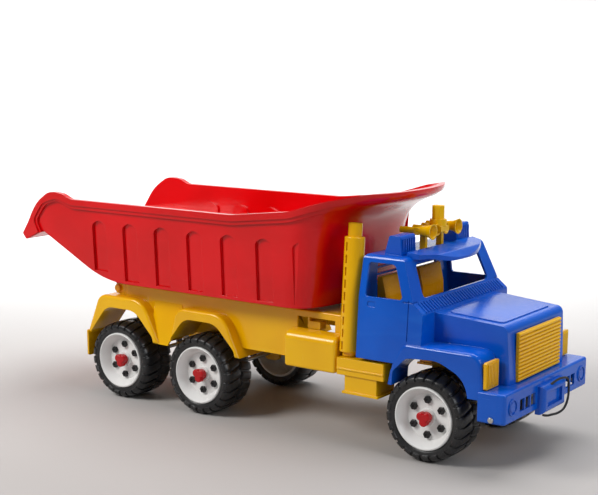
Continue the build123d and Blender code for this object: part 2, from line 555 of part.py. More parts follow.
def cab_seams():
    """Narrow grooves of the door's front edge and of its foot, and the handle's recess."""
    deep = 0.9
    cut = block(CAB_REAR + 72, CAB_REAR + 73.2, -HALF_W - 4, -HALF_W + 16, ARCH_Z + 17, SILL_Z + 2)
    skin = (cab_core(0.0) - cab_core(-deep))
    grooves = cut + block(CAB_REAR + 64, CAB_REAR + 92, -HALF_W - 4, -HALF_W + 16, SILL_Z - 1.2, SILL_Z)
    handle = prism("y", -HALF_W - 4, -HALF_W + 16, [(CAB_REAR + 13, SILL_Z - 12, 2), (CAB_REAR + 25, SILL_Z - 12, 2),
                                                    (CAB_REAR + 25, SILL_Z - 5, 2), (CAB_REAR + 13, SILL_Z - 5, 2)])
    return both((grooves + handle) & skin)


def cab_core(grow):
    """Cab body without hood or fenders."""
    return prism("y", -140, 140, cab_side_view(grow)) & prism("x", -140, 20, cab_front_view(grow))


def cowl_ribs():
    """Louvre ribs on the slope below the windscreen."""
    x0, x1 = CAB_REAR + 80.5, -CAB_FRONT - 0.8
    z0, z1 = SILL_Z - 2.2, SILL_Z - 12.2
    count, reach = 32, HALF_W - 16
    ribs = []
    for i in range(count):
        y = -reach + i * 2 * reach / (count - 1)
        ribs.append(prism("y", y - 1.1, y + 1.1, [(x0, z0 - 2, 0), (x0, z0 + 1.3, 0), (x1 + 0.9, z1 + 1.3, 0), (x1, z1 - 2, 0)]))
    return ribs


def hood_panel():
    """Raised panel on the hood with a rounded border."""
    plan = prism("z", 0, 400, [(-CAB_FRONT + 12, -HOOD_HALF_W + 13, 7), (NOSE_X - 16, -HOOD_HALF_W + 17, 7),
                               (NOSE_X - 16, HOOD_HALF_W - 17, 7), (-CAB_FRONT + 12, HOOD_HALF_W - 13, 7)])
    return (hood_block(0.0, 1.3) - hood_block(0.0, -1.0)) & plan


def cab_shell():
    """Blue cab moulding: cab, hood, front fenders, cowl and roof fairings, open below."""
    body = cab_core(0.0) + hood_block()
    body = body + both(front_fender())
    inner = cab_core(-WALL) + (Pos(0, 0, -0.0) * hood_block(-WALL)) + both(front_fender(-WALL))
    inner += block(CAB_REAR + WALL, NOSE_X - WALL, -HOOD_HALF_W + 6, HOOD_HALF_W - 6, BUMPER_TOP_Z - 5, CAB_FLOOR_Z + 6)
    inner += block(CAB_REAR + WALL, -CAB_FRONT - WALL, -HALF_W + WALL, HALF_W - WALL, CAB_FLOOR_Z - 5, CAB_FLOOR_Z + 1)
    body = body + hood_panel()
    shell = body - inner
    shell += both(well_liner())
    shell -= both(prism("y", -HALF_W - 10, -WELL_Y - 1, front_well()))
    shell -= block(BUMPER_X - BUMPER_DEEP - CLEAR, BUMPER_X, -140, 140, 0, BUMPER_TOP_Z)
    shell -= cab_openings()
    shell -= cab_seams()
    shell += both(roof_fairing())
    shell += [rib for rib in cowl_ribs()]
    for i in range(3):
        z = SILL_Z + 12 + i * 9
        shell += block(CAB_REAR, CAB_REAR + WALL, -78, 78, z, z + 2.4)
    return shell - grille_seat() - headlight_seats()


def well_liner():
    """Right-hand arch liner that joins the fender's rim to the hood's side."""
    liner = prism("y", -HALF_W + 1, -HOOD_HALF_W + LINER_IN, [(-WHEEL_R + 4, ARCH_Z - 40, 0)] + [(-WHEEL_R + 8, ARCH_Z - 20, 10),
                  (-WHEEL_R * 0.5, ARCH_Z, 14), (18, ARCH_Z + WALL, 40), (WHEEL_R + 5, ARCH_Z - 16, 34), (WHEEL_R + 16, ARCH_Z - 40, 0)])
    return liner


def grille_seat():
    """Shallow recess and two peg holes for the grille."""
    seat = block(NOSE_X - 1.2, NOSE_X + 2, -GRILLE_HALF_W, GRILLE_HALF_W, GRILLE_LOW, GRILLE_TOP)
    pegs = both(rod("x", NOSE_X - 10, NOSE_X + 2, -30, (GRILLE_LOW + GRILLE_TOP) / 2, 3.0))
    return seat + pegs


GRILLE_HALF_W = 59.5
GRILLE_LOW = ARCH_Z - 27.0
GRILLE_TOP = SILL_Z - 32.0
GRILLE_BARS = 13


def grille():
    """Yellow grille: a back plate with level rounded bars, and two pegs."""
    plate = block(NOSE_X - 1.2, NOSE_X + 1.2, -GRILLE_HALF_W, GRILLE_HALF_W, GRILLE_LOW, GRILLE_TOP)
    pitch = (GRILLE_TOP - GRILLE_LOW) / GRILLE_BARS
    for i in range(GRILLE_BARS):
        z = GRILLE_LOW + i * pitch
        bar = block(NOSE_X + 0.6, NOSE_X + 3.6, -GRILLE_HALF_W, GRILLE_HALF_W, z + 0.5, z + pitch - 0.5)
        plate += soften(bar, bar.faces().sort_by(Axis.X)[-1].edges(), 1.4)
    return plate + both(rod("x", NOSE_X - 6, NOSE_X, -30, (GRILLE_LOW + GRILLE_TOP) / 2, 3.0))


LAMP_X = WHEEL_R + 24.0
LAMP_IN = HALF_W - 34.0
LAMP_OUT = HALF_W - 2.5
LAMP_LOW = ARCH_Z - 27.0
LAMP_TOP = ARCH_Z + 6.0


def headlight_seats():
    seat = block(LAMP_X - 6, LAMP_X + 6, -LAMP_OUT + 3, -LAMP_IN - 3, LAMP_LOW + 3, LAMP_TOP - 3)
    return both(seat)


def headlight():
    """Right-hand ribbed lamp that clips into the fender's front."""
    lamp = block(LAMP_X, LAMP_X + 4.0, -LAMP_OUT, -LAMP_IN, LAMP_LOW, LAMP_TOP)
    lamp = soften(lamp, lamp.edges().filter_by(Axis.X), 2.0)
    count = 7
    for i in range(count):
        y = -LAMP_OUT + 4.5 + i * (LAMP_OUT - LAMP_IN - 9) / (count - 1)
        rib = block(LAMP_X + 3, LAMP_X + 5.6, y - 1.3, y + 1.3, LAMP_LOW + 2.5, LAMP_TOP - 2.5)
        lamp += soften(rib, rib.faces().sort_by(Axis.X)[-1].edges(), 0.7)
    return lamp + block(LAMP_X - WALL - 1, LAMP_X, -LAMP_OUT + 3, -LAMP_IN - 3, LAMP_LOW + 3, LAMP_TOP - 3)


def sun_visor():
    """Curved peak above the windscreen."""
    half, tip, root = 81.0, -9.0, -46.0
    arc = ThreePointArc((tip - 22, -half, ROOF_Z - 11), (tip, 0, ROOF_Z - 11), (tip - 22, half, ROOF_Z - 11))
    rest = Polyline((tip - 22, half, ROOF_Z - 11), (root, half + 4, ROOF_Z - 11), (root, -half - 4, ROOF_Z - 11),
                    (tip - 22, -half, ROOF_Z - 11))
    slab = extrude(make_face(arc + rest), 15, dir=(0, 0, 1))
    wedge = prism("y", -100, 100, [(root, ROOF_Z + 3.5, 0), (tip - 10, ROOF_Z - 0.5, 6), (tip + 1, ROOF_Z - 9, 3), (tip + 1, ROOF_Z - 11, 0),
                                   (tip - 3, ROOF_Z - 11, 0), (tip - 14, ROOF_Z - 5, 6), (root + 10, ROOF_Z - 5, 0),
                                   (root, ROOF_Z - 5, 0)])
    return (slab & wedge) - cab_core(0.0)


def front_bumper():
    """Wide bumper: open-backed box with lamp rings, slots and the winch housing."""
    low, top = BUMPER_TOP_Z - BUMPER_H, BUMPER_TOP_Z
    rear, half = BUMPER_X - BUMPER_DEEP, HALF_W + 1.5
    plan = [(rear, -half, 0), (BUMPER_X - 12, -half, 6), (BUMPER_X, -half + 1, 5), (BUMPER_X, half - 1, 5), (BUMPER_X - 12, half, 6), (rear, half, 0)]
    shell = prism("z", low, top, plan)
    shell = soften(shell, shell.faces().sort_by(Axis.X)[-1].edges().filter_by(Axis.Y), 3.0)
    shell -= block(rear - 1, BUMPER_X - WALL, -half + WALL, half - WALL, low - 1, top - WALL)
    shell += block(rear, rear + WALL, -50, 50, low + 6, top - 1)
    for s in (-1, 1):
        for y0, y1 in ((37, 49), (52, 64), (67, 79)):
            shell -= block(BUMPER_X - 6, BUMPER_X + 2, s * y0, s * y1, top - 29, top - 14)
        ring = rod("x", BUMPER_X - 1, BUMPER_X + 1.4, s * 99, top - 19, 10.5) - rod("x", BUMPER_X - 2, BUMPER_X + 3, s * 99, top - 19, 8.6)
        lens = rod("x", BUMPER_X - 1, BUMPER_X + 0.8, s * 99, top - 19, 6.2)
        shell = shell + ring + lens
    shell += winch_housing()
    shell -= both(rod("y", -half - 2, -half + 6, BUMPER_X - 18, low + 5, PIN_R))
    return shell - cord_tube(CORD_R + CLEAR)[0]


PIN_R = 2.0


def winch_housing():
    """Block in the middle of the bumper, hollow in front, that carries the pull cord."""
    low, top = BUMPER_TOP_Z - 44, BUMPER_TOP_Z - 8
    box = block(BUMPER_X - WALL, WINCH_X, -31, 35, low, top)
    box = soften(box, box.faces().sort_by(Axis.X)[-1].edges(), 7.0)
    return box - block(WINCH_X - 4, WINCH_X + 2, -20, 22, low + 9, top - 9)


def bumper_pin():
    """Right-hand metal pin that fixes the bumper's corner."""
    low = BUMPER_TOP_Z - BUMPER_H
    pin = rod("y", -HALF_W - 1.5, -HALF_W + 4.5, BUMPER_X - 18, low + 5, PIN_R)
    head = rod("y", -HALF_W - 3.5, -HALF_W - 1.5, BUMPER_X - 18, low + 5, PIN_R + 1.6)
    return pin + soften(head, head.faces().sort_by(Axis.Y)[0].edges(), 1.2)


def cab_interior():
    """Yellow insert: floor, two seats and dashboard."""
    x0, x1 = CAB_REAR + WALL + CLEAR, -CAB_FRONT - WALL - CLEAR
    half = HOOD_HALF_W - LINER_IN - CLEAR
    floor = block(x0, x1, -half, half, CAB_FLOOR_Z, CAB_FLOOR_Z + WALL)
    seats = None
    for s in (-1, 1):
        base = block(x0 + 4, x0 + 46, s * 18, s * 74, CAB_FLOOR_Z + WALL - 1, CAB_FLOOR_Z + 32)
        back = prism("y", min(s * 18, s * 74), max(s * 18, s * 74),
                     [(x0, CAB_FLOOR_Z + 20, 0), (x0 + 14, CAB_FLOOR_Z + 20, 0), (x0 + 13, CAB_FLOOR_Z + 72, 4),
                      (x0 + 7, CAB_FLOOR_Z + 98, 4), (x0, CAB_FLOOR_Z + 98, 3)])
        seat = soften(base, base.edges().filter_by(Axis.Y), 5.0) + back
        seats = seat if seats is None else seats + seat
    dash = prism("y", -half, half, [(x1 - 24, CAB_FLOOR_Z + WALL - 1, 0), (x1 - 12, CAB_FLOOR_Z + WALL - 1, 0), (x1 - 12, SILL_Z - 16, 4),
                                (x1 - 10, SILL_Z - 5, 3), (x1 - 24, SILL_Z - 3, 5)])
    return floor + seats + dash


def exhaust_stack():
    """Yellow stack: slotted main pipe with a thinner outlet, leaning in with the cab's side."""
    high, tip = ROOF_Z + 19 - STACK_Z, ROOF_Z + 36 - STACK_Z
    body = Cylinder(STACK_R, high, align=(Align.CENTER, Align.CENTER, Align.MIN))
    body = soften(body, body.edges().filter_by(GeomType.CIRCLE), 2.0)
    for i in range(9):
        for turn in (-106, -142):
            body -= Rot(0, 0, turn) * Pos(STACK_R - 0.4, 0, 9 + i * 15.8) * Box(3, 2.6, 10.5)
    outlet = Pos(0, 0, high - 1) * Cylinder(9.0, tip - high + 1, align=(Align.CENTER, Align.CENTER, Align.MIN))
    outlet -= Pos(0, 0, high + 2) * Cylinder(7.0, tip - high, align=(Align.CENTER, Align.CENTER, Align.MIN))
    foot = block(CAB_REAR - 28, CAB_REAR - 10, -SKIRT_Y - 13, -SKIRT_Y, STACK_Z - 5, STACK_Z + 1)
    foot = soften(foot, foot.edges().filter_by(Axis.Z).sort_by(Axis.Y)[:2], 5.0)
    return stack_axis() * (body + outlet) + foot


def horn_bar():
    """Roof horns: four trumpets on a bar, a beacon above it and a foot on the roof."""
    bar_z = ROOF_Z + 23.5
    bar = block(CAB_REAR + 34, CAB_REAR + 44, -38, 38, bar_z - 5, bar_z + 4)
    bar = soften(bar, bar.edges().filter_by(Axis.Y), 2.5)
    feet = both(block(CAB_REAR + 35, CAB_REAR + 43, -24, -18, ROOF_Z - 4, bar_z - 4))
    base = Pos(CAB_REAR + 48, 0, bar_z + 8) * Cylinder(11.0, 9)
    beacon = Pos(CAB_REAR + 48, 0, bar_z + 21) * extrude(RegularPolygon(8.4, 8), 18, both=False)
    beacon = Pos(0, 0, -9) * beacon
    plinth = block(CAB_REAR + 38, CAB_REAR + 58, -10, 10, bar_z - 3, bar_z + 4.5)
    bar = bar + feet + base + beacon + plinth
    for y, mouth, tail_x, mouth_x in ((-33, 10.2, CAB_REAR + 12, CAB_REAR + 60), (-11, 8.0, CAB_REAR + 18, CAB_REAR + 54),
                                      (11, 8.0, CAB_REAR + 18, CAB_REAR + 54), (33, 10.2, CAB_REAR + 12, CAB_REAR + 60)):
        bar += trumpet(tail_x, mouth_x, y, bar_z, mouth)
    return bar - cab_core(0.0)


def trumpet(tail_x, mouth_x, y, z, mouth):
    """One horn: a thin tube that opens into a bell, hollow at the mouth."""
    neck = 4.2
    length = mouth_x - tail_x
    profile = [(0, 0), (neck, 0), (neck, length * 0.42), (neck + 1.0, length * 0.55), (mouth * 0.72, length * 0.86), (mouth, length),
               (mouth - 1.6, length), (mouth * 0.72 - 1.6, length * 0.87), (neck - 0.4, length * 0.6), (0, length * 0.58)]
    horn = revolve(make_face(Polyline(*[(r, 0, h) for r, h in profile], close=True)), Axis.Z)
    return Pos(tail_x, y, z) * Rot(0, 90, 0) * horn


# ---- pull cord
CORD_R = 1.5
CORD_POINTS = [(-5.0, -8.0, -12.0), (1.0, 4.0, -4.5), (3.0, 18.0, -5.0), (2.0, 33.0, -9.0), (0.5, 40.5, -20.0), (0.5, 40.5, -37.0),
               (-1.0, 33.0, -50.0), (-3.0, 17.0, -52.5), (-4.0, 4.0, -51.0), (-6.0, -8.0, -50.5), (-7.0, -17.0, -47.5)]


def cord_route():
    """Route of the cord from the winch's face over, beside and under the housing, from its anchor."""
    return [(WINCH_X + a, b, BUMPER_TOP_Z + c) for a, b, c in CORD_POINTS]


def cord_radii(points):
    """As large a radius at each corner as its two runs allow."""
    radii = []
    for a, b, c in zip(points, points[1:], points[2:]):
        run_in, run_out = Vector(b) - Vector(a), Vector(c) - Vector(b)
        turn = math.radians(run_in.get_angle(run_out))
        radii.append(0.45 * min(run_in.length, run_out.length) / math.tan(turn / 2))
    return radii


def cord_tube(radius):
    """Round tube along the whole route."""
    points = cord_route()
    path = FilletPolyline(*points, radius=cord_radii(points))
    start = Plane(origin=points[0], z_dir=Vector(points[1]) - Vector(points[0]))
    tube = sweep(start * Circle(radius), path=path)
    return tube, path.length


def pull_cord():
    tube, length = cord_tube(CORD_R)
    print("cord radii", [round(r, 1) for r in cord_radii(cord_route())])
    print("cord length", round(length, 1), "volume ratio", round(tube.volume / (math.pi * CORD_R ** 2 * length), 4))
    return tube


# ---- write the pieces
def save(name, shape):
    """Shift a piece, or a group of separate solids, to the finished frame and write it."""
    solids = [Pos(-origin_x(), 0, 0) * s for item in (shape if isinstance(shape, list) else [shape]) for s in item.solids()]
    export_step(solids[0] if len(solids) == 1 else Compound(solids), f"parts/{name}.step")
    print(name, len(solids), "solids", round(sum(s.volume for s in solids) / 1000, 1), "cm3")


def main():
    os.makedirs("parts", exist_ok=True)
    save("chassis", chassis())
    save("bucket", bucket())
    save("cab_shell", cab_shell())
    for name, make in (("front_bumper", front_bumper), ("grille", grille), ("sun_visor", sun_visor),
                       ("cab_interior", cab_interior), ("exhaust_stack", exhaust_stack), ("horn_bar", horn_bar),
                       ("pull_cord", pull_cord)):
        save(name, make())
    for name, make in (("fuel_tank", fuel_tank), ("cab_step", cab_step), ("headlight", headlight),
                       ("tipping_pin", tipping_pin), ("bumper_pin", bumper_pin)):
        save(name + "_right", make())
        save(name + "_left", left(make()))
    for place, axle_x in AXLES.items():
        save(f"axle_{place}", axle(axle_x))
        for name, make in (("tyre", tyre), ("rim", rim), ("hub_knob", hub_knob)):
            piece = make(axle_x)
            save(f"{name}_{place}_right", piece)
            save(f"{name}_{place}_left", left(piece))
        nuts = wheel_nuts(axle_x)
        save(f"wheel_nuts_{place}_right", nuts)
        save(f"wheel_nuts_{place}_left", [left(nut) for nut in nuts])


main()
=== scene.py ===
# %% [markdown]
# # A moulded toy tipper truck
# The truck is blow- and injection-moulded plastic: a yellow chassis, a red bucket, a blue cab, white wheel
# discs in soft black tyres, and a black pull cord. The shapes with exact sizes arrive as a fixed frame.
# Here they get their finishes, the tyres get real tread, and the cord becomes a smooth line.

# %% Load the frame
import json
import math

import bpy
import bmesh
from mathutils import Matrix, Vector


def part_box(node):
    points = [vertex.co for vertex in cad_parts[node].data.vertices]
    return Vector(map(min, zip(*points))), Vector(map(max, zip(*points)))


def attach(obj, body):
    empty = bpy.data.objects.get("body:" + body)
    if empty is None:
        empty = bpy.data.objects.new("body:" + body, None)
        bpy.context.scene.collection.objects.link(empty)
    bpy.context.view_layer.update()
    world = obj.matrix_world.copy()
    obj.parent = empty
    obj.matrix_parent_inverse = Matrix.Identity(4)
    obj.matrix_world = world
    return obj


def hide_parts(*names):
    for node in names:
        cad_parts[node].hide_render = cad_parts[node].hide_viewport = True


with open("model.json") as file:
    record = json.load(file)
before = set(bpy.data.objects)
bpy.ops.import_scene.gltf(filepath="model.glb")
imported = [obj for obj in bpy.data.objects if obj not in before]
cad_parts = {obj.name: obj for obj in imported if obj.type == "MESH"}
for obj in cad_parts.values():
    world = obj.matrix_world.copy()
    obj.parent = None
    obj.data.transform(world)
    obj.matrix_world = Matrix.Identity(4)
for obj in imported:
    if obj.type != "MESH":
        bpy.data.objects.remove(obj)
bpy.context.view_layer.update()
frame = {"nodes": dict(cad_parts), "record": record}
MM = 0.001

# %% [markdown]
# ## Camera
# A long lens from the truck's front right corner, a little above the bucket's rail, keeps the six wheels in
# proportion. The look is level from side to side, and the lens is shifted up slightly, as a view camera is.

# %% Camera
EYE = Vector((1.0374, -1.4215, 0.5043))
LOOK = Vector((-0.57373, 0.79548, -0.19505))
camera = bpy.data.objects.new("camera", bpy.data.cameras.new("camera"))
bpy.context.scene.collection.objects.link(camera)
camera.location = EYE
camera.rotation_euler = LOOK.to_track_quat("-Z", "Y").to_euler()
camera.data.lens = 76.3
camera.data.sensor_width = 36.0
camera.data.shift_y = 0.0861
bpy.context.scene.camera = camera
print("camera at", [round(v, 3) for v in EYE])

# %% [markdown]
# ## Pull cord
# A thin braided cord leaves the top of the winch housing, drops beside it, hangs in a slack bow under the
# bumper and goes back in below. One smooth NURBS line through few points hangs like cord does; many points
# would look like bent wire. Each point's own radius gives the cord its thickness, so the line's bevel is 1.

# %% Cord line
WINCH = Vector((404.61, 0.0, 104.0))
CORD_D = 3.0
CORD_POINTS = [(-5.0, -8.0, -12.0), (1.0, 4.0, -4.5), (3.0, 18.0, -5.0), (2.0, 33.0, -9.0), (0.5, 40.5, -20.0),
               (0.5, 40.5, -37.0), (-1.0, 33.0, -50.0), (-3.0, 17.0, -52.5), (-4.0, 4.0, -51.0),
               (-6.0, -8.0, -50.5), (-7.0, -17.0, -47.5)]
curve = bpy.data.curves.new("pull_cord_line", "CURVE")
curve.dimensions = "3D"
curve.bevel_depth = 1.0
curve.bevel_resolution = 6
curve.resolution_u = 14
curve.use_fill_caps = True
line = curve.splines.new("NURBS")
line.points.add(len(CORD_POINTS) - 1)
for point, offset in zip(line.points, CORD_POINTS):
    point.co = (*((WINCH + Vector(offset)) * MM), 1.0)
    point.radius = CORD_D / 2 * MM
line.use_endpoint_u = True
line.order_u = 3
cord = bpy.data.objects.new("pull_cord_braid", curve)
bpy.context.scene.collection.objects.link(cord)
print("cord points", len(line.points), "order", line.order_u)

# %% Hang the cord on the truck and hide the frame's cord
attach(cord, "truck")
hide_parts("pull_cord")

# %% [markdown]
# ## Shader arithmetic
# A material is a small calculation: masks are added, multiplied and turned over. Wrapping a socket in a class
# with the usual operators lets that calculation read as one line of maths.

# %% Socket arithmetic
class Val:
    """A socket's number in a material, usable in ordinary maths."""

    def __init__(self, tree, socket):
        self.tree, self.socket = tree, socket

    def math(self, operation, first, second):
        node = self.tree.nodes.new("ShaderNodeMath")
        node.operation = operation
        for slot, item in zip(node.inputs, (first, second)):
            if isinstance(item, Val):
                self.tree.links.new(item.socket, slot)
            else:
                slot.default_value = item
        return Val(self.tree, node.outputs[0])

    def __add__(self, other): return self.math("ADD", self, other)
    def __radd__(self, other): return self.math("ADD", other, self)
    def __sub__(self, other): return self.math("SUBTRACT", self, other)
    def __rsub__(self, other): return self.math("SUBTRACT", other, self)
    def __mul__(self, other): return self.math("MULTIPLY", self, other)
    def __rmul__(self, other): return self.math("MULTIPLY", other, self)
    def least(self, other): return self.math("MINIMUM", self, other)
    def most(self, other): return self.math("MAXIMUM", self, other)


# %% Material recipe
class Recipe:
    """One material's node tree, with one method that adds any node."""

    def __init__(self, name):
        self.material = bpy.data.materials.new(name)
        self.material.use_nodes = True
        self.tree = self.material.node_tree
        self.tree.nodes.clear()
        self.place = self.node("ShaderNodeTexCoord", out="Object")

    def node(self, kind, settings=None, values=None, out=0):
        node = self.tree.nodes.new(kind)
        for key, value in (settings or {}).items():
            if key == "stops":
                ramp = node.color_ramp.elements
                while len(ramp) < len(value):
                    ramp.new(0.5)
                for stop, (where, shade) in zip(ramp, value):
                    stop.position, stop.color = where, (*shade, 1.0)
            else:
                setattr(node, key, value)
        for key, value in (values or {}).items():
            if isinstance(value, Val):
                self.tree.links.new(value.socket, node.inputs[key])
            else:
                node.inputs[key].default_value = value
        return Val(self.tree, node.outputs[out])

    def noise(self, scale, detail=2.0, stretch=None, rough=0.5, warp=0.0):
        place = self.place
        if stretch:
            place = self.node("ShaderNodeMapping", None, {"Vector": place, "Scale": stretch})
        return self.node("ShaderNodeTexNoise", None, {"Vector": place, "Scale": scale, "Detail": detail,
                                                     "Roughness": rough, "Distortion": warp}, "Fac")

    def ramp(self, value, low, high):
        return self.node("ShaderNodeMapRange", {"clamp": True, "interpolation_type": "SMOOTHSTEP"},
                         {"Value": value, "From Min": low, "From Max": high})

    def mix(self, mask, first, second):
        paint = lambda c: c if isinstance(c, Val) else (*c, 1.0)
        values = {0: mask, 6: paint(first), 7: paint(second)}
        return self.node("ShaderNodeMix", {"data_type": "RGBA"}, values, 2)

    def finish(self, colour, roughness, height=None, strength=0.3, depth=0.0002, edge=0.0, **constants):
        values = {"Base Color": colour, "Roughness": roughness, **constants}
        normal = self.node("ShaderNodeBevel", {"samples": 4}, {"Radius": edge}) if edge else None
        if height is not None:
            bump = {"Height": height, "Strength": strength, "Distance": depth}
            if normal:
                bump["Normal"] = normal
            normal = self.node("ShaderNodeBump", None, bump)
        if normal:
            values["Normal"] = normal
        shader = self.node("ShaderNodeBsdfPrincipled", None, values)
        output = self.tree.nodes.new("ShaderNodeOutputMaterial")
        self.tree.links.new(shader.socket, output.inputs["Surface"])
        return self.material


# %% [markdown]
# ## Moulded plastic
# Coloured polypropylene is even, but never flat: the pigment drifts slowly, the melt leaves faint flow lines,
# thick corners sink a little, the mould's skin gives a fine grain, and play leaves thin pale scratches and
# some dust in level places. Each of those is one mask.

# %% Moulded plastic
def moulded(name, colour, light, dark, gloss=0.24, scratches=0.8, dust=0.05):
    r = Recipe(name)
    drift = r.noise(9.0, 3.0)
    flow = r.noise(26.0, 3.0, (0.35, 1.0, 1.6), warp=0.8)
    grain = r.noise(1500.0, 2.0)
    sink = r.noise(48.0, 1.0)
    fine = r.noise(5.0, 6.0, (6.0, 160.0, 190.0), 0.6)
    cross = r.noise(5.0, 6.0, (170.0, 150.0, 5.0), 0.6)
    patches = r.ramp(r.noise(17.0, 3.0), 0.52, 0.68)
    lines = (r.ramp(fine, 0.63, 0.70) + r.ramp(cross, 0.65, 0.71)).least(1.0) * patches * scratches
    facing = r.node("ShaderNodeSeparateXYZ", None, {0: r.node("ShaderNodeTexCoord", out="Normal")}, "Z")
    settled = r.ramp(facing, 0.55, 1.0) * r.ramp(r.noise(70.0, 6.0, rough=0.7), 0.42, 0.75) * dust
    tone = r.mix(r.ramp(drift, 0.3, 0.7), dark, colour)
    tone = r.mix(r.ramp(flow, 0.55, 0.8) * 0.16, tone, light)
    tone = r.mix(lines * 0.22, tone, light)
    tone = r.mix(settled, tone, (0.62, 0.58, 0.52))
    rough = gloss + 0.06 * flow + 0.16 * lines + 0.5 * settled + 0.04 * grain
    height = sink * 1.0 + grain * 0.06 - lines * 0.25
    return r.finish(tone, rough, height, 0.22, 0.0009, 0.0009, IOR=1.42)


# Each slot: name, colour, worn light tone, deep tone, roughness, and for white how many scratches.
paints = {
    "yellow_plastic": moulded("yellow_moulding", (0.86, 0.48, 0.0), (0.94, 0.62, 0.01),
                              (0.78, 0.40, 0.0), 0.16),
    # The seat is the yellow moulding darkened to orange: painted shade for the shade inside the cab.
    "orange_plastic": moulded("seat_moulding", (0.80, 0.36, 0.004), (0.90, 0.50, 0.03),
                              (0.68, 0.27, 0.003), 0.22),
    "red_plastic": moulded("red_moulding", (0.72, 0.0, 0.003), (0.84, 0.010, 0.015),
                           (0.60, 0.0, 0.001), 0.12),
    "dark_red_plastic": moulded("knob_moulding", (0.48, 0.001, 0.005), (0.66, 0.02, 0.03),
                                (0.38, 0.0, 0.002), 0.18),
    "blue_plastic": moulded("blue_moulding", (0.001, 0.102, 0.58), (0.02, 0.22, 0.76),
                            (0.0, 0.076, 0.48), 0.12),
    "white_plastic": moulded("white_moulding", (0.82, 0.82, 0.81), (0.90, 0.90, 0.89),
                             (0.75, 0.75, 0.74), 0.2, 0.4),
    "black_plastic": moulded("black_moulding", (0.010, 0.010, 0.011), (0.05, 0.05, 0.05),
                             (0.006, 0.006, 0.007), 0.26),
}
print("plastics", len(paints))

# %% [markdown]
# ## Tyre, steel and cord
# The tyres are soft black vinyl: a little duller than the mouldings, greyed by dust on the worn faces of
# the tread. The axles and pins are plated rod, drawn lengthwise, so their scratches run along y. The cord is a
# round braid, whose strands cross at one angle, so its pattern follows the cord's own length.

# %% Vinyl
def vinyl():
    r = Recipe("tyre_vinyl")
    cloud = r.noise(30.0, 4.0)
    grain = r.noise(900.0, 3.0)
    rubbed = r.ramp(r.noise(120.0, 6.0, rough=0.7), 0.50, 0.78)
    tone = r.mix(r.ramp(cloud, 0.35, 0.7), (0.008, 0.008, 0.009), (0.018, 0.018, 0.019))
    tone = r.mix(rubbed * 0.12, tone, (0.10, 0.096, 0.09))
    rough = 0.27 + 0.12 * cloud + 0.16 * rubbed
    return r.finish(tone, rough, grain + 0.4 * rubbed, 0.25, 0.0003, 0.0006, IOR=1.5)


# %% Plated rod
def plated():
    r = Recipe("plated_rod")
    drawn = r.noise(40.0, 4.0, (30.0, 1.0, 30.0))
    spots = r.ramp(r.noise(400.0, 5.0), 0.62, 0.75)
    tone = r.mix(drawn, (0.42, 0.41, 0.38), (0.66, 0.64, 0.58))
    tone = r.mix(spots * 0.5, tone, (0.20, 0.15, 0.10))
    return r.finish(tone, 0.22 + 0.2 * drawn + 0.2 * spots, drawn, 0.2, 0.0001, Metallic=1.0)


# %% Braided cord
def braid():
    r = Recipe("cord_braid")
    along = r.node("ShaderNodeSeparateXYZ", None, {0: r.node("ShaderNodeTexCoord", out="UV")}, "X")
    around = Val(r.tree, along.socket.node.outputs["Y"])

    def wave(turns, twist):
        strand = along * turns + around * twist
        return strand.math("PINGPONG", strand, 0.5)

    over = (wave(46.0, 4.0) * 2.0).most(wave(46.0, -4.0) * 2.0)
    fuzz = r.noise(2200.0, 2.0)
    tone = r.mix(over * 0.6 + fuzz * 0.3, (0.006, 0.006, 0.006), (0.035, 0.035, 0.037))
    return r.finish(tone, 0.62 + 0.2 * fuzz, over + 0.2 * fuzz, 0.8, 0.0004)


paints["black_tyre"] = vinyl()
paints["pin_steel"] = plated()
paints["black_cord"] = braid()
cord.data.materials.append(paints["black_cord"])

# %% Paint every node of the frame
slots = {part["node"]: part["material_slot"] for part in frame["record"]["subparts"]}
for name, node in frame["nodes"].items():
    node.data.materials.clear()
    node.data.materials.append(paints[slots[name]])
print("painted", len(slots), "nodes")

# %% [markdown]
# ## Tyres
# Each tyre is one soft moulding with chevron lugs that wrap over both shoulders and a zig-zag groove round the
# middle. It is drawn as a ring of edges that is pulled out along the tyre's section, a few degrees of turn at
# each step, so that the rows of faces already slant. The lugs are then raised from those rows.

# %% Edit helpers
def only(obj):
    bpy.ops.object.select_all(action="DESELECT")
    obj.select_set(True)
    bpy.context.view_layer.objects.active = obj


def pick(obj, test, kind="faces"):
    """Select the faces or vertices for which test is true; returns how many."""
    mesh = bmesh.from_edit_mesh(obj.data)
    bpy.ops.mesh.select_all(action="DESELECT")
    chosen = [item for item in getattr(mesh, kind) if test(item)]
    for item in chosen:
        item.select_set(True)
    mesh.select_flush_mode()
    bmesh.update_edit_mesh(obj.data)
    return len(chosen)


# %% Tyre section
SEGMENTS = 96
LUG = 4
GROOVE = 2.4
# Radius and place across the tyre in mm, and the turn in degrees on the way to that ring.
SECTION = [(40.4, -25.0, 0), (43.0, -26.6, 0), (46.5, -26.8, 0), (50.6, -25.8, 0),
           (53.1, -21.5, 0), (53.6, -16.0, 1.2), (53.75, -9.0, 1.6), (53.75, -2.2, 1.8),
           (53.75, 2.2, 0), (53.75, 9.0, -1.8), (53.6, 16.0, -1.6), (53.1, 21.5, -1.2),
           (50.6, 25.8, 0), (46.5, 26.8, 0), (43.0, 26.6, 0), (40.4, 25.0, 0)]
bpy.ops.object.select_all(action="DESELECT")
bpy.ops.mesh.primitive_circle_add(vertices=SEGMENTS, radius=SECTION[0][0] * MM, rotation=(math.pi / 2, 0, 0))
tyre = bpy.context.active_object
bpy.ops.object.transform_apply(location=True, rotation=True, scale=True)
bpy.ops.object.mode_set(mode="EDIT")
bpy.ops.mesh.select_mode(type="VERT")
bpy.ops.mesh.select_all(action="SELECT")
bpy.ops.transform.translate(value=(0, SECTION[0][1] * MM, 0))
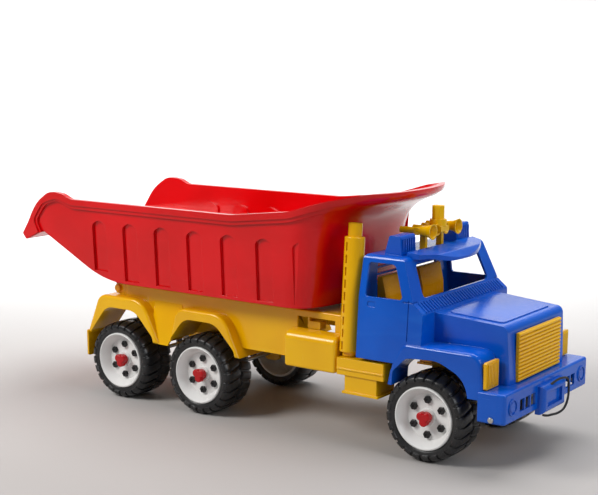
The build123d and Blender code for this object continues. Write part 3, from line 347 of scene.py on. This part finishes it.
for (r0, y0, t0), (r1, y1, turn) in zip(SECTION, SECTION[1:]):
    bpy.ops.mesh.extrude_edges_move(TRANSFORM_OT_translate={"value": (0, (y1 - y0) * MM, 0)})
    bpy.ops.transform.resize(value=(r1 / r0, 1, r1 / r0), center_override=(0, 0, 0))
    if turn:
        bpy.ops.transform.rotate(value=math.radians(turn), orient_axis="Y", center_override=(0, 0, 0))
print("rings", len(SECTION), "vertices", len(bmesh.from_edit_mesh(tyre.data).verts))

# %% Close the inside and set the normals
edge_y = SECTION[0][1] * MM
pick(tyre, lambda v: abs(abs(v.co.y) - abs(edge_y)) < 1e-6, "verts")
bpy.ops.mesh.bridge_edge_loops()
bpy.ops.mesh.select_all(action="SELECT")
bpy.ops.mesh.remove_doubles(threshold=1e-6)
bpy.ops.mesh.normals_make_consistent(inside=False)

# %% Zig-zag of the middle groove
step = 2 * math.pi / SEGMENTS
column = lambda x, z: int(round(math.atan2(z, x) / step)) % SEGMENTS
for shift in (1, -1):
    pick(tyre, lambda v: abs(v.co.y) < 2.5 * MM and (column(v.co.x, v.co.z) // 2) % 2 == (shift > 0), "verts")
    bpy.ops.transform.translate(value=(0, shift * 1.6 * MM, 0))


# %% Raise the lugs
def lug_column(face):
    """Which slanted column of faces this one is in, counted round the tyre."""
    middle = face.calc_center_median()
    turned = sum(t for r, y, t in SECTION if y < middle.y / MM)
    angle = math.degrees(math.atan2(middle.z, middle.x))
    return round((angle - turned) / math.degrees(step) - 0.5)


def is_lug(face):
    """True for a tread or shoulder face that isn't in a groove."""
    middle = face.calc_center_median()
    if abs(middle.y) < 3.2 * MM or math.hypot(middle.x, middle.z) < 47.0 * MM:
        return False
    return (lug_column(face) + (2 if middle.y > 0 else 0)) % LUG != 0


bpy.ops.mesh.select_mode(type="FACE")
count = pick(tyre, is_lug)
bpy.ops.mesh.extrude_region_shrink_fatten(TRANSFORM_OT_shrink_fatten={"value": GROOVE * MM * 0.94})
reach = max(math.hypot(v.co.x, v.co.z) for v in bmesh.from_edit_mesh(tyre.data).verts) / MM
print("lug faces", count, "outer radius", round(reach, 2))
bpy.ops.object.mode_set(mode="OBJECT")

# %% [markdown]
# Real lugs have soft edges where the mould was cut. A narrow bevel on the sharp edges gives each one a line of
# light, and the smooth shading keeps the ring round between them.

# %% Soften the lugs
soft = tyre.modifiers.new("soft edges", "BEVEL")
soft.width, soft.segments, soft.limit_method, soft.angle_limit = 0.55 * MM, 2, "ANGLE", math.radians(32)
only(tyre)
bpy.ops.object.modifier_apply(modifier="soft edges")
bpy.ops.object.shade_smooth_by_angle(angle=math.radians(38))
print("tyre faces", len(tyre.data.polygons))

# %% Copy the tyre to each wheel
axle_x = {place: sum(c[0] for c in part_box(f"tyre_{place}_right")) / 2 for place in ("front", "mid", "rear")}
for place, x in axle_x.items():
    for side, y, turn in (("right", -0.091, 0.0), ("left", 0.091, math.pi)):
        copy = bpy.data.objects.new(f"tread_{place}_{side}", tyre.data.copy())
        bpy.context.scene.collection.objects.link(copy)
        spin = Matrix.Rotation(turn, 4, "Z") @ Matrix.Rotation(0.3 * len(place) + 0.5 * x, 4, "Y")
        copy.data.transform(Matrix.Translation((x, y, 0.056)) @ spin)
        copy.data.materials.append(paints["black_tyre"])
        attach(copy, f"wheel_{place}_{side}")
        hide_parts(f"tyre_{place}_{side}")
bpy.data.objects.remove(tyre)
print("tyres at", {k: round(v, 4) for k, v in axle_x.items()})

# %% [markdown]
# ## Studio
# The floor is a sheet painted warm grey at the front and paler towards the back, painted light that stands in
# for the back of the sheet being lit more than the front. It curves up at the back, square to the camera's
# view, so there is no horizon. A soft light stands high on the left of the camera, a weaker one fills from the
# right, one hangs above, and one only brightens the back of the sheet. A dim pale sky evens out the rest.

# %% Floor
bpy.ops.object.select_all(action="DESELECT")
bpy.ops.mesh.primitive_plane_add(size=1, location=(0, 0, -0.0002))
floor = bpy.context.active_object
floor.scale = (14, 5.2, 1)
bpy.ops.object.transform_apply(location=True, rotation=True, scale=True)
bpy.ops.object.mode_set(mode="EDIT")
bpy.ops.mesh.select_mode(type="EDGE")
pick(floor, lambda e: all(v.co.y > 2 for v in e.verts), "edges")
CURVE_R, CURVE_STEPS = 1.6, 14
for i in range(CURVE_STEPS):
    low, high = (math.pi / 2 * k / CURVE_STEPS for k in (i, i + 1))
    rise = (0, CURVE_R * (math.sin(high) - math.sin(low)), CURVE_R * (math.cos(low) - math.cos(high)))
    bpy.ops.mesh.extrude_edges_move(TRANSFORM_OT_translate={"value": rise})
bpy.ops.mesh.extrude_edges_move(TRANSFORM_OT_translate={"value": (0, 0, 4.0)})
bpy.ops.object.mode_set(mode="OBJECT")
floor.rotation_euler.z = math.atan2(LOOK.y, LOOK.x) - math.pi / 2
bpy.ops.object.transform_apply(location=True, rotation=True, scale=True)
bpy.ops.object.shade_smooth()
paper = Recipe("paper_floor")
cloud = paper.noise(3.0, 3.0)
spot = paper.node("ShaderNodeSeparateXYZ", None, {0: paper.place}, "X")
# Painted light: the sheet's colour runs from dark grey near the camera to pale at the back, standing in for the
# light falling off towards the front.
painted_light_falloff = Val(paper.tree, spot.socket.node.outputs["Y"]) * 0.81 - spot * 0.585
tone = paper.mix(paper.ramp(painted_light_falloff, -0.5, 2.0), (0.385, 0.365, 0.355), (0.84, 0.84, 0.84))
tone = paper.mix(cloud * 0.06, tone, (0.9, 0.88, 0.86))
floor.data.materials.append(paper.finish(tone, 0.75 + 0.1 * cloud))
print("floor ready")


# %% Lights
def softbox(name, place, target, size, power, colour=(1, 1, 1)):
    lamp = bpy.data.objects.new(name, bpy.data.lights.new(name, "AREA"))
    bpy.context.scene.collection.objects.link(lamp)
    lamp.data.shape, lamp.data.size, lamp.data.size_y = "RECTANGLE", size[0], size[1]
    lamp.data.energy, lamp.data.color = power, colour
    lamp.location = place
    lamp.rotation_euler = (Vector(target) - Vector(place)).to_track_quat("-Z", "Y").to_euler()
    return lamp


softbox("key", (-1.1, -1.6, 1.7), (0, 0, 0.15), (1.0, 0.8), 46, (1.0, 0.985, 0.96))
softbox("fill", (2.0, -0.3, 1.1), (0.1, 0, 0.15), (0.9, 0.9), 15, (0.94, 0.97, 1.0))
softbox("top", (0.1, 0.5, 2.0), (0, 0, 0.1), (1.8, 1.4), 34)
softbox("backdrop", (-1.2, 0.9, 2.6), (-2.6, 3.6, 0.9), (3.0, 1.0), 120)
world = bpy.data.worlds.new("pale room")
bpy.context.scene.world = world
world.use_nodes = True
world.node_tree.nodes["Background"].inputs["Color"].default_value = (0.95, 0.97, 1.0, 1.0)
world.node_tree.nodes["Background"].inputs["Strength"].default_value = 0.2
bpy.context.scene.view_settings.view_transform = "Standard"
print("lights ready")
